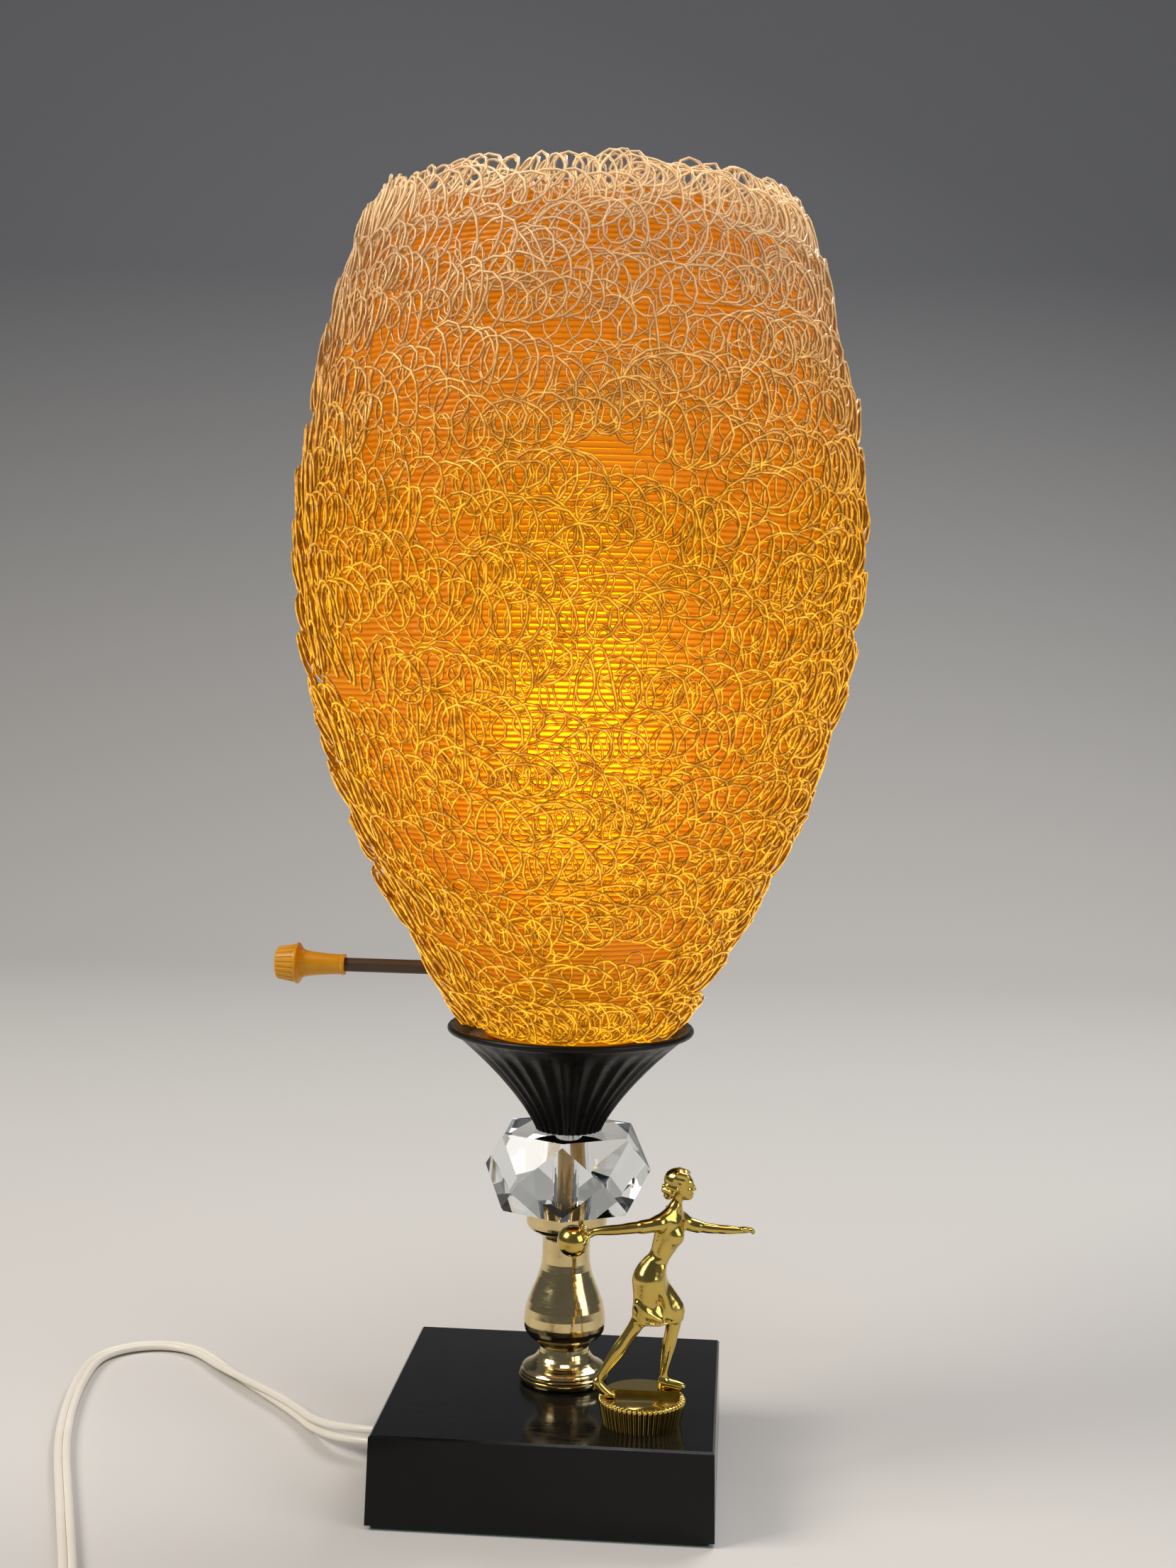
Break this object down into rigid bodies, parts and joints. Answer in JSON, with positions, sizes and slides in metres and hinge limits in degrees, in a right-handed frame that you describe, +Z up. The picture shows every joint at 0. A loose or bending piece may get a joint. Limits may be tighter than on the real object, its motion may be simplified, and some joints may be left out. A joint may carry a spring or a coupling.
{
  "type": "spaghetti lamp",
  "caption": "Table lamp with a barrel shade of looped clear strand over an amber liner, a crystal and gold column, a turn knob and a trophy bowler on a square black base.",
  "frame": {"origin": "on the lamp's axis, in the plane of the felt foot that stands on the table", "axes": "+Z up along the lamp's pipe, -Y towards the side with the figure, switch rod along -X"},
  "size_m": [0.3285, 0.3641, 0.4887],
  "materials": {
    "felt": "pressed wool felt",
    "black_gloss": "black moulded phenolic, gloss with fine wear",
    "fibreboard": "pressed fibreboard",
    "steel": "bright zinc-plated steel",
    "cast_iron": "rough cast",
    "brass": "satin brass",
    "ivory_plastic": "moulded ivory plastic",
    "cord_plastic": "ivory vinyl, slight sheen",
    "gold_plate": "bright brass plate",
    "clear_acrylic": "clear polished acrylic",
    "black_metal": "black enamel, satin",
    "paper": "waxed insulating paper",
    "phenolic": "moulded phenolic",
    "brown_plastic": "brown moulded rod",
    "amber_plastic": "amber moulded plastic",
    "lit_glass": "frosted bulb glass, lit",
    "amber_thread": "amber spun thread, lit from inside",
    "clear_strand": "clear spun plastic strand",
    "trophy_gold": "gold plated casting, polished",
    "tie_plastic": "plastic covered wire tie"
  },
  "bodies": {
    "lamp": {"felt_pad": "felt", "base_block": "black_gloss", "bottom_cover": "fibreboard", "cover_screws": "steel", "ballast_disc": "cast_iron", "pipe_washer": "steel", "pipe_nuts": "brass", "lamp_pipe": "brass", "cord_bushing": "ivory_plastic", "inner_leads": "cord_plastic", "column_foot": "gold_plate", "column_vase": "gold_plate", "crystal_seat": "gold_plate", "crystal": "clear_acrylic", "fluted_cup": "black_metal", "shade_fitter": "brass", "socket_cap": "brass", "socket_shell": "brass", "socket_liner": "paper", "socket_body": "phenolic", "screw_shell": "brass", "centre_contact": "brass", "terminal_screws": "brass", "key_bushing": "brass", "switch_contacts": "brass", "amber_liner": "amber_thread", "shell_lower": "clear_strand", "shell_belly": "clear_strand", "shell_upper": "clear_strand", "spun_strand": "clear_strand", "figure_puck": "trophy_gold", "bowler_figure": "trophy_gold", "figure_stud": "steel", "figure_washer": "steel", "figure_nut": "steel", "cord_lead": "cord_plastic", "cord_coil": "cord_plastic", "cord_tail": "cord_plastic", "cord_tie": "tie_plastic", "plug_body": "ivory_plastic", "plug_blades": "brass"},
    "switch": {"switch_rotor": "phenolic", "key_shaft": "brass", "extension_rod": "brown_plastic", "knob": "amber_plastic"},
    "bulb": {"bulb_glass": "lit_glass", "bulb_base": "steel", "bulb_insulator": "phenolic", "bulb_tip": "steel", "bulb_stem": "lit_glass", "filament": "steel"}
  },
  "joints": [
    {"name": "switch_turn", "type": "hinge", "parent": "lamp", "child": "switch", "pos_m": [-0.06, 0, 0.1956], "axis": [-1, 0, 0], "continuous": true},
    {"name": "bulb_lift", "type": "slide", "parent": "lamp", "child": "bulb", "axis": [0, 0, 1], "range_m": [0, 0.3]}
  ]
}
